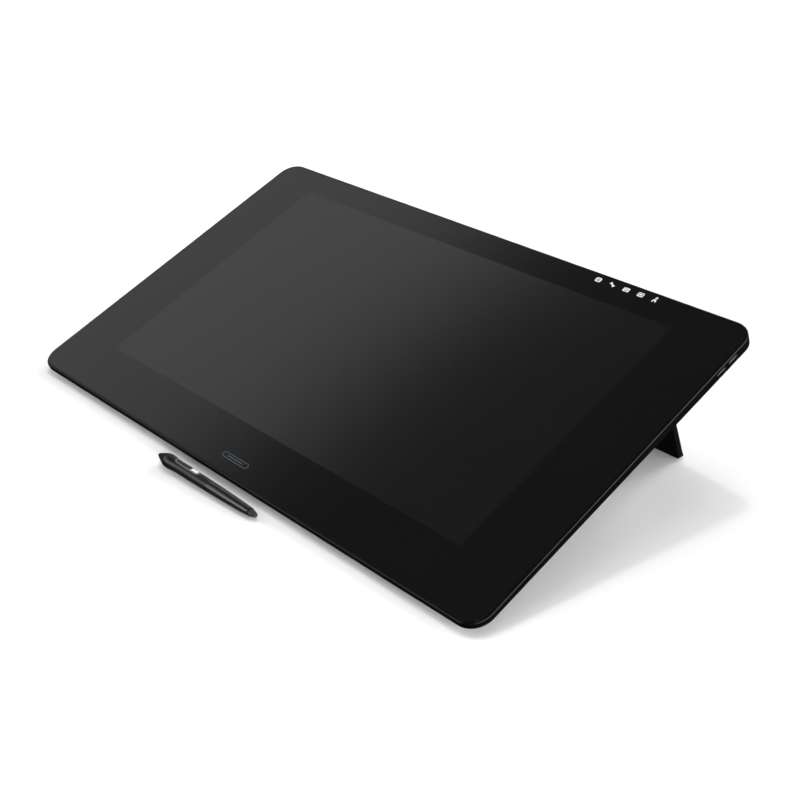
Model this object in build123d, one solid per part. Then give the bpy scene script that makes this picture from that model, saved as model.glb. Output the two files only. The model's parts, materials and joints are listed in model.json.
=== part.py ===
from build123d import *
import os
from math import asin, cos, degrees, radians, sin, tan

# A 24-inch pen drawing tablet (pen display) standing on its two fold-out legs, with its pen lying in
# front of it. Millimetres. The tablet is drawn in its slab frame: X to the user's right with 0 at the
# middle, Y up the face from its front edge, Z out of the glass with 0 at the glass's top. The slab
# frame is then tilted back and set on the desk. The row's origin is the bottom centre of the whole set.

# ---------------------------------------------------------------- driving dimensions
WIDTH = 677.0
DEPTH = 394.0
CORNER_R = 21.0
TILT = 20.0  # face above the desk on the legs
FLAT_TILT = 5.0  # face above the desk with the legs folded away
CLEAR = 0.2  # assembly gap between fixed pieces

# the stack under the face, as depths below the glass's top
RIM = 2.2  # front frame that shows around the glass
RIM_ROUND = 2.0
GLASS_T = 1.2
MASK_T = 0.2
TOUCH_T = 0.3
SEAT_DEPTH = GLASS_T + MASK_T + TOUCH_T  # ledge that carries the glass
FRAME_DEPTH = 3.9
SEAM_TOP = 2.2  # bottom of the front frame's outer wall
SEAM_GAP = 0.2

# display window and panel
WINDOW_W, WINDOW_D = 534.0, 300.4
WINDOW_Y = 209.0  # window centre, up the face
PANEL_W, PANEL_D = 546.0, 312.0
PANEL_Y0, PANEL_Y1 = WINDOW_Y - PANEL_D / 2, WINDOW_Y + PANEL_D / 2
CHASSIS_TOP, CHASSIS_BOTTOM = 9.6, 11.1

# rear cover: a low side wall, then a skirt down to a sloping flat back
WALL_FRONT, WALL_REAR = 6.35, 11.4  # depth of the wall's lower edge at the front and rear
WALL_T = 2.2
WALL_EDGE = 0.3  # chamfer along the wall's lower edge
BACK_HALF_W = 300.0
BACK_Y0, BACK_Y1 = 30.0, 372.0
BACK_R = 20.0
BACK_EDGE_R = 6.0
BACK_FRONT_DEPTH = 13.5
SHELL_T = 2.5

# feet
FOOT_Y, FOOT_DEPTH = 14.0, 15.2  # the front feet's lowest line, on which the tablet pivots
FOOT_Y0, FOOT_Y1 = 9.5, 24.0
FOOT_HALF_GAP, FOOT_LENGTH = 45.0, 220.0
REAR_FOOT_X0, REAR_FOOT_X1 = 110.0, 285.0
REAR_FOOT_S0, REAR_FOOT_S1 = 322.0, 334.0

# legs
LEG_X0, LEG_X1 = 160.4, 290.4
LEG_T = 6.5
LEG_Y = 312.45  # hinge axis, up the face
LEG_INSET = 3.4  # hinge axis above the back's surface
LEG_EDGE_R = 0.8
PAD_H = 5.0
RECESS_DEPTH = 7.6
RECESS_GAP = 0.6
EAR_T = 4.0
EAR_GAP = 0.5
EAR_INSET = 14.6  # leg's end to the ear's outer side
EAR_HALF_Y = 3.1
PIN_R = 1.6
RUNNING = 0.05
PIN_REACH = 7.0  # pin beyond each side of its ear
NOTCH = 8.0  # leg cut back from the axis beside each ear

# mounting pattern on the back
VESA = 100.0
VESA_Y = 190.0
INSERT_R, INSERT_BORE_R, INSERT_L = 3.0, 2.0, 10.0

# connector bay under its cover
BAY_HALF_W = 85.0
BAY_Y0, BAY_Y1 = 322.0, 364.0
BAY_DEPTH = 18.0
BAY_LID_T = 1.8
CABLE_HALF_W = 32.0
CABLE_DEPTH = 10.0

# screws that hold the rear cover
COVER_SCREW_SEAT = 14.0  # depth of the seat in each screw well

# side ports
PORT_YS = (336.9, 355.1)
PORT_DEPTH = 7.0  # middle of the ports below the glass
USB_W, USB_H, USB_L = 13.2, 5.8, 14.0
USB_WALL = 0.35
CARD_Y = 300.0
CARD_W, CARD_H, CARD_L = 26.0, 3.2, 24.0

# power button and lock slot in the rear wall
BUTTON_X, LOCK_X = 250.0, -262.0
BUTTON_W, BUTTON_H = 16.0, 4.0
BUTTON_DEPTH = 6.9
BUTTON_PROUD = 0.6

# fans, boards
FAN_X, FAN_Y, FAN_SIZE = 128.0, 280.0, 50.0
FAN_TOP, FAN_BOTTOM = 11.3, 21.3
IMPELLER_R = 20.0
BLADES = 13
BOARD_TOP, BOARD_BOTTOM = 20.0, 21.6

# touch keys along the rear bezel
KEY_XS = (158.8, 176.4, 194.0, 211.6, 228.8)
KEY_Y = 384.1
KEY_SIZE = 7.2

# pen, in its own frame: X from the nib's tip to the tail, Z towards the side switch
PEN_L = 152.0
PEN_TIP_X, PEN_TIP_AHEAD = -75.6, 19.4  # nib's tip, and how far it lies in front of the face's edge
PEN_YAW, PEN_ROLL = 1.3, -10.0
NOSE_X, FLARE_X, SEAM_X, RING_X, ERASER_X = 8.0, 19.5, 81.5, 141.0, 143.0
NOSE_R, FLARE_R = 4.4, 7.25
BARREL_POINTS = ((22.0, 7.16), (27.0, 6.7), (50.0, 6.25), (SEAM_X, 5.95), (100.0, 5.7), (122.0, 5.1), (RING_X, 4.2))
PEN_REST_X = 100.0  # where the barrel's belly touches the desk behind the flare
PEN_REST_R = 5.7
SWITCH_X0, SWITCH_X1, SWITCH_W = 29.5, 65.7, 6.4
SWITCH_RIM = 0.8
ROCKER_X1 = 54.0
SWITCH_FLOOR = 3.7
PEN_BORE_R = 3.2
NIB_R, STEM_R = 0.8, 1.9
TRUNNION_R = 0.45
TRUNNION_Z = 5.3

# ---------------------------------------------------------------- derived places
TILT_SIN, TILT_COS = sin(radians(TILT)), cos(radians(TILT))
BACK_SLOPE = tan(radians(FLAT_TILT))
WALL_SLOPE = (WALL_REAR - WALL_FRONT) / DEPTH
FACE_HEIGHT = FOOT_DEPTH * TILT_COS - FOOT_Y * TILT_SIN  # face's front edge above the desk
PEN_PITCH_SIN = (FLARE_R - PEN_REST_R) / (PEN_REST_X - FLARE_X)
SET_FRONT = -PEN_TIP_AHEAD - FLARE_R  # front of the set, measured from the face's front edge
SET_REAR = DEPTH * TILT_COS + WALL_REAR * TILT_SIN
FACE_Y = -(SET_FRONT + SET_REAR) / 2  # face's front edge in the row frame
SLAB = Location((0, FACE_Y, FACE_HEIGHT), (TILT, 0, 0))


def back_z(y):
    """Height of the back's flat surface in the slab frame."""
    return -BACK_FRONT_DEPTH - (y - BACK_Y0) * BACK_SLOPE


def desk_z(y):
    """Height in the slab frame of the desk under a point up the face, with the legs out."""
    return -(y * TILT_SIN + FACE_HEIGHT) / TILT_COS


BACK = Location((0, BACK_Y0, -BACK_FRONT_DEPTH), (-FLAT_TILT, 0, 0))  # Y up the back, Z into the body
LEG_S = (LEG_Y - BACK_Y0) / cos(radians(FLAT_TILT)) - LEG_INSET * BACK_SLOPE
LEG_Z = back_z(LEG_Y) + LEG_INSET / cos(radians(FLAT_TILT))
LEG_FRONT_Y, LEG_REAR_Y = LEG_Y - LEG_T / 2, LEG_Y + LEG_T / 2


def along_back(y):
    """Distance up the back from its front edge, for a point up the face."""
    return (y - BACK_Y0) / cos(radians(FLAT_TILT))


# ---------------------------------------------------------------- helpers
def block(x0, x1, y0, y1, z0, z1):
    """Box between two corners."""
    middle = ((x0 + x1) / 2, (y0 + y1) / 2, (z0 + z1) / 2)
    return Pos(*middle) * Box(abs(x1 - x0), abs(y1 - y0), abs(z1 - z0))


def plate(width, y0, y1, radius, top, bottom):
    """Round-cornered plate centred on X, with its top and bottom given as depths."""
    outline = Pos(0, (y0 + y1) / 2, -bottom) * RectangleRounded(width, y1 - y0, radius)
    return extrude(outline, bottom - top)


def post(x, y, radius, top, bottom):
    """Round post along the slab's Z, with its ends given as depths."""
    return Pos(x, y, -(top + bottom) / 2) * Cylinder(radius, bottom - top)


def slanted_outline(half_width, y0, y1, radius, z0, slope):
    """Round-cornered outline on a plane that falls by slope towards the rear, z0 high at Y 0."""
    middle = (y0 + y1) / 2
    plane = Plane(origin=(0, middle, z0 - slope * middle), x_dir=(1, 0, 0), z_dir=(0, slope, 1))
    length = (y1 - y0) * (1 + slope**2) ** 0.5
    return plane * RectangleRounded(2 * half_width, length, radius)


def mirrored(shape):
    """The same piece on the other side of the tablet."""
    return mirror(shape, about=Plane.YZ)


def both_sides(shape):
    return [shape, mirrored(shape)]


# ---------------------------------------------------------------- face and display stack
def cover_glass():
    """Etched cover glass over the whole face."""
    return plate(WIDTH - 2 * RIM, RIM, DEPTH - RIM, CORNER_R - RIM, 0, GLASS_T)


def key_outline(x):
    return Pos(x, KEY_Y) * RectangleRounded(KEY_SIZE, KEY_SIZE, 1.6)


def black_mask():
    """Opaque border behind the glass, open at the display window and the five key lights."""
    ring = plate(WIDTH - 2 * RIM, RIM, DEPTH - RIM, CORNER_R - RIM, GLASS_T, GLASS_T + MASK_T)
    ring -= plate(WINDOW_W, WINDOW_Y - WINDOW_D / 2, WINDOW_Y + WINDOW_D / 2, 0.8, 0, SEAT_DEPTH)
    for x in KEY_XS:
        ring -= Pos(0, 0, -SEAT_DEPTH) * extrude(key_outline(x), SEAT_DEPTH)
    return ring


def key_windows():
    """Five small light diffusers set in the mask, one behind each touch key."""
    return [Pos(0, 0, -GLASS_T - MASK_T) * extrude(key_outline(x), MASK_T) for x in KEY_XS]


def optical_bond():
    """Clear bonding layer that fills the mask's window."""
    y0, y1 = WINDOW_Y - WINDOW_D / 2, WINDOW_Y + WINDOW_D / 2
    return plate(WINDOW_W, y0, y1, 0.8, GLASS_T, GLASS_T + MASK_T)


def touch_sensor():
    """Touch film behind the glass."""
    return plate(PANEL_W, PANEL_Y0, PANEL_Y1, 1.0, GLASS_T + MASK_T, SEAT_DEPTH)


def glass_adhesive():
    """Foam tape ring that holds the glass on the front frame's ledge."""
    top, bottom = GLASS_T + MASK_T, SEAT_DEPTH
    ring = plate(WIDTH - 2 * RIM - 1, RIM + 0.5, DEPTH - RIM - 0.5, CORNER_R - 2, top, bottom)
    ring -= plate(WIDTH - 2 * RIM - 13, RIM + 6.5, DEPTH - RIM - 6.5, CORNER_R - 8, top, bottom)
    return ring


def front_frame():
    """Metal frame around the glass: rounded rim, glass seat and a ledge with screw posts."""
    rim = plate(WIDTH, 0, DEPTH, CORNER_R, 0, SEAM_TOP)
    rim = fillet(rim.edges().group_by(Axis.Z)[-1], RIM_ROUND)
    inset = WALL_T + CLEAR
    ledge = plate(WIDTH - 2 * inset, inset, DEPTH - inset, CORNER_R - inset, SEAM_TOP, FRAME_DEPTH)
    pocket = plate(WIDTH - 2 * RIM, RIM, DEPTH - RIM, CORNER_R - RIM, 0, SEAT_DEPTH)
    opening = plate(PANEL_W + 1, PANEL_Y0 - 0.5, PANEL_Y1 + 0.5, 2, 0, FRAME_DEPTH)
    frame = rim + ledge - pocket - opening
    for x, y in CHASSIS_SCREWS:
        frame += post(x, y, 3.5, FRAME_DEPTH, CHASSIS_TOP)
        frame -= post(x, y, 1.3, FRAME_DEPTH + 1, CHASSIS_TOP)
    for x in KEY_XS:
        frame -= post(x, KEY_Y, 2.4, SEAT_DEPTH, FRAME_DEPTH)
    return frame


def lcd_panel():
    return plate(PANEL_W, PANEL_Y0, PANEL_Y1, 1.0, SEAT_DEPTH, SEAT_DEPTH + 1.4)


def diffuser_sheets():
    return plate(PANEL_W - 6, PANEL_Y0 + 3, PANEL_Y1 - 3, 1.0, 3.1, 3.7)


def light_guide():
    return plate(PANEL_W - 10, PANEL_Y0 + 6, PANEL_Y1 - 6, 1.0, 3.7, 6.2)


def led_bars():
    """Light bars along the light guide's two long edges."""
    half = PANEL_W / 2 - 5
    front = block(-half, half, PANEL_Y0 + 3.2, PANEL_Y0 + 5.8, -6.2, -3.9)
    rear = block(-half, half, PANEL_Y1 - 5.8, PANEL_Y1 - 3.2, -6.2, -3.9)
    return [front, rear]


def reflector_sheet():
    return plate(PANEL_W - 6, PANEL_Y0 + 3, PANEL_Y1 - 3, 1.0, 6.2, 6.5)


def backlight_tray():
    """Pressed tray that holds the backlight's layers and carries the panel on its rim."""
    tray = plate(PANEL_W, PANEL_Y0, PANEL_Y1, 1.0, 3.1, 7.5)
    return tray - plate(PANEL_W - 5.6, PANEL_Y0 + 2.8, PANEL_Y1 - 2.8, 1.0, 3.1, 6.5)


def digitizer_board():
    """Pen position sensor board behind the display."""
    return plate(PANEL_W, PANEL_Y0, PANEL_Y1, 1.0, 7.7, 8.7)


def shield_plate():
    return plate(PANEL_W, PANEL_Y0, PANEL_Y1, 1.0, 8.9, 9.4)


# ---------------------------------------------------------------- chassis
CHASSIS_SCREWS = [(s * x, y) for s in (-1, 1) for x in (100.0, 240.0) for y in (46.5, 370.5)]
CHASSIS_SCREWS += [(s * 285.0, y) for s in (-1, 1) for y in (120.0, 300.0)]
COVER_SCREWS = [(s * 285.0, y) for s in (-1, 1) for y in (62.0, 190.0, 338.0)]
COVER_SCREWS += [(s * 146.0, y) for s in (-1, 1) for y in (62.0, 338.0)]
BOARD_SCREWS = [(s * x, y) for s in (-1, 1) for x in (42.0, 92.0) for y in (256.0,)]
BOARD_SCREWS += [(s * 92.0, 300.0) for s in (-1, 1)]
VESA_CORNERS = [(sx * VESA / 2, sy * VESA / 2) for sx in (-1, 1) for sy in (-1, 1)]


def chassis_plate():
    """Magnesium plate behind the display that everything else screws to."""
    sheet = plate(588, 42, 374, 34, CHASSIS_TOP, CHASSIS_BOTTOM)
    for x, y in CHASSIS_SCREWS + COVER_SCREWS + BOARD_SCREWS:
        sheet -= post(x, y, 1.65, CHASSIS_TOP, CHASSIS_BOTTOM)
    return sheet


def machine_screws(places, head_top, radius=1.5, head_radius=2.8, grip=4.6, head=1.8):
    """Socket screws driven up from below, with their heads' undersides at one depth."""
    screws = []
    for x, y in places:
        shank = post(x, y, radius, head_top - grip, head_top)
        cap = post(x, y, head_radius, head_top, head_top + head)
        drive = Pos(x, y, -head_top - head + 0.5) * RegularPolygon(1.2, 6)
        screws.append(shank + cap - extrude(drive, -1.0))
    return screws


def chassis_screws():
    return machine_screws(CHASSIS_SCREWS, CHASSIS_BOTTOM, radius=1.25, head_radius=2.4, grip=4.5, head=1.1)


def cover_screws():
    return machine_screws(COVER_SCREWS, COVER_SCREW_SEAT, grip=4.2)


# ---------------------------------------------------------------- rear cover
def back_body(inset, drop, top):
    """Solid outer form of the rear housing, or of its inside when inset and drop are given."""
    wall = plate(WIDTH - 2 * inset, inset, DEPTH - inset, CORNER_R - inset, top, 20)
    lower = drop + WALL_FRONT - (WALL_T if inset else 0)
    below = Plane(origin=(0, 0, -lower), x_dir=(1, 0, 0), z_dir=(0, WALL_SLOPE, 1))
    wall = split(wall, bisect_by=below, keep=Keep.TOP)
    if not inset:
        rim = wall.edges().filter_by(lambda e: e.center().Z < -lower + 0.5 - WALL_SLOPE * e.center().Y)
        wall = chamfer(rim, WALL_EDGE)
    step = 1.6 + inset
    upper = slanted_outline(WIDTH / 2 - step, step, DEPTH - step, CORNER_R - step, 0.5 - lower, WALL_SLOPE)
    z0 = drop + back_z(0) + (SHELL_T if inset else 0)
    flat = slanted_outline(BACK_HALF_W - inset, BACK_Y0 + inset, BACK_Y1 - inset, BACK_R - inset, z0, BACK_SLOPE)
    body = wall + loft([upper, flat], ruled=True)
    if not inset:
        corners = body.edges().filter_by(lambda e: abs((BACK.inverse() * Pos(*e.center())).position.Z) < 0.01)
        body = fillet(corners, BACK_EDGE_R)
    return body


def leg_pocket(grow):
    """Recess that the right leg folds into, or the block around it when grow is the wall's thickness."""
    s0 = LEG_S - leg_reach(LEG_REAR_Y) - RECESS_GAP
    s1 = LEG_S + LEG_T / 2 + 0.4
    x0, x1 = LEG_X0 - RECESS_GAP, LEG_X1 + RECESS_GAP
    return BACK * block(x0 - grow, x1 + grow, s0 - grow, s1 + grow, -1, RECESS_DEPTH + grow)


def finger_scoop(grow):
    """Thumb recess in front of the folded leg's end."""
    middle = (LEG_X0 + LEG_X1) / 2
    s1 = LEG_S - leg_reach(LEG_REAR_Y) - RECESS_GAP + 0.1
    scoop = Rot(90, 0, 0) * extrude(SlotOverall(44 + 2 * grow, 18 + 2 * grow), 14 + grow)
    return BACK * (Pos(middle, s1, -2.0) * scoop)


def bay_space(grow):
    """Space that the rear connectors open into, or the block around it when grow is the wall's thickness."""
    s0, s1 = along_back(BAY_Y0), along_back(BAY_Y1)
    return BACK * block(-BAY_HALF_W - grow, BAY_HALF_W + grow, s0 - grow, s1 + grow, -1, BAY_DEPTH + grow)


def lid_space():
    """Space in front of the bay that its lid takes up."""
    s0, s1 = along_back(BAY_Y0), along_back(BAY_Y1)
    return BACK * block(-BAY_HALF_W - 4, BAY_HALF_W + 4, s0 - 4, s1 + 4, -1, BAY_LID_T + CLEAR)


def cable_channel(grow):
    """Way out for the cables, from the bay through the rear skirt."""
    s1 = along_back(BAY_Y1)
    return BACK * block(-CABLE_HALF_W - grow, CABLE_HALF_W + grow, s1 - 1, s1 + 60, -4, CABLE_DEPTH + grow)


def vent_slots():
    """Air inlets under the two fans and outlets behind them, through the rear skirt."""
    slots = []
    for side in (-1, 1):
        for i in range(13):
            x = side * FAN_X + (i - 6) * 4.0
            inlet = extrude(Pos(x, along_back(FAN_Y)) * SlotOverall(34, 2.0, rotation=90), 8, both=True)
            outlet = block(x - 1.0, x + 1.0, along_back(380), along_back(398), 4, 24)
            slots += [BACK * inlet, BACK * outlet]
    return slots


def ear_slots():
    """Slots in the leg recess for the hinge ears of the right leg."""
    y0, y1 = LEG_Y - EAR_HALF_Y - EAR_GAP, LEG_Y + EAR_HALF_Y + EAR_GAP
    slots = []
    for x in ear_places():
        slots.append(block(x - EAR_GAP, x + EAR_T + EAR_GAP, y0, y1, LEG_Z, -20))
    return slots


def port_opening(side, y, width, height, reach):
    """Cut through a side wall for a port."""
    x0, x1 = side * (WIDTH / 2 - reach), side * (WIDTH / 2 + 1)
    z0, z1 = -PORT_DEPTH - height / 2 - 0.1, -PORT_DEPTH + height / 2 + 0.1
    return block(x0, x1, y - width / 2 - 0.1, y + width / 2 + 0.1, z0, z1)


def connector_openings():
    """Cuts in the bay's front wall, one for each rear connector."""
    cuts = []
    z1 = -BOARD_BOTTOM + 0.1
    for x, width, height in [POWER_SOCKET, *DATA_SOCKETS]:
        cuts.append(block(x - width / 2 - 0.2, x + width / 2 + 0.2, BAY_Y0 - 6, BAY_Y0 + 4, z1 - height - 0.3, z1))
    return cuts


def leg_wells(outer):
    """Two moulded wells in the back that the legs fold into, each with a finger scoop."""
    well = (leg_pocket(WALL_T) + finger_scoop(WALL_T)) & outer
    well -= [leg_pocket(0), finger_scoop(0), *ear_slots()]
    return both_sides(max(well.solids(), key=lambda solid: solid.volume))


def connector_bay(outer):
    """Moulded tub that the rear connectors open into, with a channel to the rear for the cables."""
    tub = (bay_space(WALL_T) + cable_channel(WALL_T)) & outer
    tub -= [bay_space(0), cable_channel(0), lid_space(), *connector_openings()]
    return max(tub.solids(), key=lambda solid: solid.volume)


def rear_cover(outer):
    """Moulded back: side wall, skirt and flat back, cut for the leg wells, connector bay, vents and screws."""
    hollow = back_body(WALL_T, 0, SEAM_TOP)
    for x, y in COVER_SCREWS:
        hollow -= post(x, y, 5.5, CHASSIS_BOTTOM + CLEAR, 60)
    for x, s in vesa_places():
        hollow -= BACK * (Pos(x, s, 5.6) * Cylinder(8.0, 11.2))
    cover = outer - hollow
    grow = WALL_T + CLEAR
    cover -= [*both_sides(leg_pocket(grow)), *both_sides(finger_scoop(grow)), bay_space(grow), cable_channel(grow)]
    for x, y in COVER_SCREWS:
        cover -= [post(x, y, 3.4, COVER_SCREW_SEAT, 60), post(x, y, 1.65, CHASSIS_BOTTOM, COVER_SCREW_SEAT)]
    for x, s in vesa_places():
        cover -= BACK * (Pos(x, s, INSERT_L / 2) * Cylinder(INSERT_R, INSERT_L))
    cover -= vent_slots()
    for side in (-1, 1):
        cover -= [port_opening(side, y, USB_W, USB_H, 8) for y in PORT_YS]
    cover -= port_opening(-1, CARD_Y, CARD_W, CARD_H, 8)
    button = Pos(BUTTON_X, DEPTH + 1, -BUTTON_DEPTH) * (Rot(90, 0, 0) * SlotOverall(BUTTON_W + 0.6, BUTTON_H + 0.6))
    cover -= extrude(button, 8, dir=(0, -1, 0))
    lock = Pos(LOCK_X, DEPTH + 1, -BUTTON_DEPTH) * (Rot(90, 0, 0) * RectangleRounded(9.4, 5.4, 1.2))
    cover -= extrude(lock, 8, dir=(0, -1, 0))
    return max(cover.solids(), key=lambda solid: solid.volume)


def vesa_places():
    """Places of the four threaded inserts, on the back's own surface."""
    return [(x, along_back(VESA_Y) + s) for x, s in VESA_CORNERS]


def vesa_inserts():
    """Four M4 threaded inserts for a wall plate or an arm, 100 mm apart each way."""
    tube = Cylinder(INSERT_R, INSERT_L) - Cylinder(INSERT_BORE_R, INSERT_L)
    return [BACK * (Pos(x, s, INSERT_L / 2) * tube) for x, s in vesa_places()]


def front_feet(outer):
    """Two rubber strips under the front edge, with one facet for each of the two working angles."""
    flat_z = -FOOT_DEPTH - (FOOT_Y1 - FOOT_Y) * BACK_SLOPE
    profile = [(FOOT_Y0, desk_z(FOOT_Y0)), (FOOT_Y, -FOOT_DEPTH), (FOOT_Y1, flat_z), (FOOT_Y1, -9), (FOOT_Y0, -5)]
    section = make_face(Plane.YZ * Polyline(*profile, close=True))
    strip = Pos(FOOT_HALF_GAP, 0, 0) * extrude(section, FOOT_LENGTH, dir=(1, 0, 0))
    return both_sides(strip - outer)


def rear_feet():
    """Two rubber pads that carry the rear when the legs are folded."""
    height = (FOOT_DEPTH + back_z(FOOT_Y)) * cos(radians(FLAT_TILT))
    pad = block(REAR_FOOT_X0, REAR_FOOT_X1, REAR_FOOT_S0, REAR_FOOT_S1, -height, 0)
    pad = fillet(pad.edges().filter_by(Axis.Z), 4)
    return both_sides(BACK * chamfer(pad.edges().group_by(Axis.Z)[0], 0.6))


def connector_cover():
    """Clip-on lid over the connector bay, with two clips and a cut for the cables."""
    s0, s1 = along_back(BAY_Y0) - 2 + CLEAR, along_back(BAY_Y1) + 2 - CLEAR
    half = BAY_HALF_W + 2 - CLEAR
    lid = block(-half, half, s0, s1, 0, BAY_LID_T)
    lid = fillet(lid.edges().filter_by(Axis.Z), 1.0)
    for x in (-BAY_HALF_W + 0.4, BAY_HALF_W - 2.0):
        lid += block(x, x + 1.6, s0 + 12, s0 + 22, BAY_LID_T, BAY_LID_T + 6)
    for i in range(5):
        lid -= block(-24, 24, s0 + 6 + 2.4 * i, s0 + 7 + 2.4 * i, -1, 0.5)
    lid -= block(-CABLE_HALF_W + 4, CABLE_HALF_W - 4, s1 - 4, s1 + 2, -1, 3)
    return BACK * lid


# ---------------------------------------------------------------- side ports and rear wall
def usb_shell(side, y):
    """Metal shell of a USB socket, open to the side."""
    x0, x1 = side * (WIDTH / 2 - 0.3), side * (WIDTH / 2 - 0.3 - USB_L)
    z0, z1 = -PORT_DEPTH - USB_H / 2, -PORT_DEPTH + USB_H / 2
    shell = block(x0, x1, y - USB_W / 2, y + USB_W / 2, z0, z1)
    inner = (y - USB_W / 2 + USB_WALL, y + USB_W / 2 - USB_WALL, z0 + USB_WALL, z1 - USB_WALL)
    return shell - block(x0 + side, x1 + side * 1.5, *inner)


def usb_tongue(side, y):
    """Plastic tongue inside a USB socket."""
    x0, x1 = side * (WIDTH / 2 - 0.9), side * (WIDTH / 2 - 0.3 - USB_L + 1.5)
    return block(x0, x1, y - 5.6, y + 5.6, -PORT_DEPTH + 0.3, -PORT_DEPTH + 2.2)


def usb_tongues():
    return [usb_tongue(side, y) for side in (-1, 1) for y in PORT_YS]


def usb_board(side, y0):
    """Small board that carries one side's ports."""
    x0, x1 = side * 296.0, side * 328.5
    top = PORT_DEPTH + USB_H / 2 + CLEAR / 2
    return block(x0, x1, y0, 366, -top - 1.2, -top)


def card_slot():
    """Memory card reader in the left side."""
    x0, x1 = -WIDTH / 2 + 0.3, -WIDTH / 2 + 0.3 + CARD_L
    z0, z1 = -PORT_DEPTH - CARD_H / 2, -PORT_DEPTH + CARD_H / 2
    body = block(x0, x1, CARD_Y - CARD_W / 2, CARD_Y + CARD_W / 2, z0, z1)
    return body - block(x0 - 1, x1 - 2, CARD_Y - CARD_W / 2 + 0.7, CARD_Y + CARD_W / 2 - 0.7, z0 + 0.4, z1 - 0.4)


def power_button():
    """Capsule button in the rear wall, with a collar behind the wall that keeps it in."""
    face = Pos(BUTTON_X, DEPTH + BUTTON_PROUD, -BUTTON_DEPTH) * (Rot(90, 0, 0) * SlotOverall(BUTTON_W, BUTTON_H))
    cap = extrude(face, WALL_T + BUTTON_PROUD + 1.6, dir=(0, -1, 0))
    cap = fillet(cap.edges().group_by(Axis.Y)[-1], 0.4)
    y0 = DEPTH - WALL_T - 0.1
    collar = block(BUTTON_X - 10, BUTTON_X + 10, y0 - 1.2, y0, -BUTTON_DEPTH - 2.1, -BUTTON_DEPTH + 2.1)
    return cap + collar


def power_switch_board():
    """Board with the switch that the power button presses."""
    y1 = DEPTH - WALL_T - 3.4
    board = block(BUTTON_X - 12, BUTTON_X + 12, y1 - 1.2, y1, -9.0, -4.2)
    return board + block(BUTTON_X - 2.5, BUTTON_X + 2.5, y1, y1 + 1.2, -BUTTON_DEPTH - 1.5, -BUTTON_DEPTH + 1.5)


def lock_plate():
    """Steel plate with a security lock slot, behind the rear wall."""
    outline = Pos(LOCK_X, DEPTH - 0.3, -BUTTON_DEPTH) * (Rot(90, 0, 0) * RectangleRounded(9.2, 5.2, 1.1))
    plug = extrude(outline, WALL_T + 0.4, dir=(0, -1, 0))
    slot = Pos(LOCK_X, DEPTH, -BUTTON_DEPTH) * (Rot(90, 0, 0) * RectangleRounded(7.0, 3.0, 0.9))
    return plug - extrude(slot, WALL_T + 2, dir=(0, -1, 0))


# ---------------------------------------------------------------- boards, fans and cooling
POWER_SOCKET = (-58.0, 11.0, 9.0)  # middle in X, width and height
DATA_SOCKETS = [(-24.0, 16.5, 6.0), (8.0, 15.2, 5.8), (38.0, 9.2, 3.4), (64.0, 9.2, 3.4)]


def main_board():
    """Main circuit board with its larger chips."""
    board = block(-98, 98, 250, 317, -BOARD_BOTTOM, -BOARD_TOP)
    for x, y in BOARD_SCREWS:
        board -= post(x, y, 1.65, BOARD_TOP, BOARD_BOTTOM)
    chips = [(0, 296, 30, 24), (-52, 284, 18, 18), (52, 284, 14, 20), (-20, 262, 12, 9), (22, 262, 16, 7)]
    for x, y, width, depth in chips:
        board += block(x - width / 2, x + width / 2, y - depth / 2, y + depth / 2, -BOARD_TOP, -BOARD_TOP + 2.4)
    return board


def board_standoffs():
    """Pillars between the chassis and the main board."""
    return [post(x, y, 3.0, CHASSIS_BOTTOM, BOARD_TOP) - post(x, y, 1.6, 14.0, BOARD_TOP) for x, y in BOARD_SCREWS]


def board_screws():
    return machine_screws(BOARD_SCREWS, BOARD_BOTTOM, grip=4.6, head_radius=2.6, head=1.4)


def socket(x, width, height):
    """One socket under the main board's rear edge, with a contact tongue inside its shell."""
    y0, y1 = BAY_Y0 - 16, BAY_Y0 - 0.4
    z0, z1 = -BOARD_BOTTOM - height, -BOARD_BOTTOM
    shell = block(x - width / 2, x + width / 2, y0, y1, z0, z1)
    shell -= block(x - width / 2 + 0.5, x + width / 2 - 0.5, y0 + 3, y1 + 1, z0 + 0.5, z1 - 0.5)
    middle = (z0 + z1) / 2
    return shell + block(x - width / 2 + 2, x + width / 2 - 2, y0 + 2.5, y1 - 1.6, middle - 0.4, middle + 0.4)


def power_socket():
    """Round power socket with a centre pin."""
    x, width, height = POWER_SOCKET
    y0, y1 = BAY_Y0 - 16, BAY_Y0 - 0.4
    middle = -BOARD_BOTTOM - height / 2
    body = block(x - width / 2, x + width / 2, y0, y1, -BOARD_BOTTOM - height, -BOARD_BOTTOM)
    body -= Pos(x, y1, middle) * (Rot(90, 0, 0) * Cylinder(3.3, 24))
    return body + Pos(x, y1 - 8, middle) * (Rot(90, 0, 0) * Cylinder(0.9, 13))


def rear_connectors():
    """Power, display and USB sockets that open into the connector bay."""
    return [power_socket()] + [socket(*place) for place in DATA_SOCKETS]


def heat_spreader():
    return block(-32, 32, 285, 316.5, -17.5, -15.6)


def heat_pipe():
    """Flat pipe from the spreader to both fin stacks."""
    bar = block(-150, 150, 308.5, 315.5, -15.5, -12.5)
    return fillet(bar.edges().filter_by(Axis.X), 1.2)


def fin_stack():
    """Cooling fins behind the right fan."""
    stack = block(FAN_X - 24, FAN_X + 24, 306, 318, -16.5, -15.6)
    for i in range(17):
        x = FAN_X - 24 + 3.0 * i
        stack += block(x - 0.3 + (0.3 if i == 0 else 0), x + 0.3 - (0.3 if i == 16 else 0), 306, 318, -21.3, -15.6)
    return stack


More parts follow.
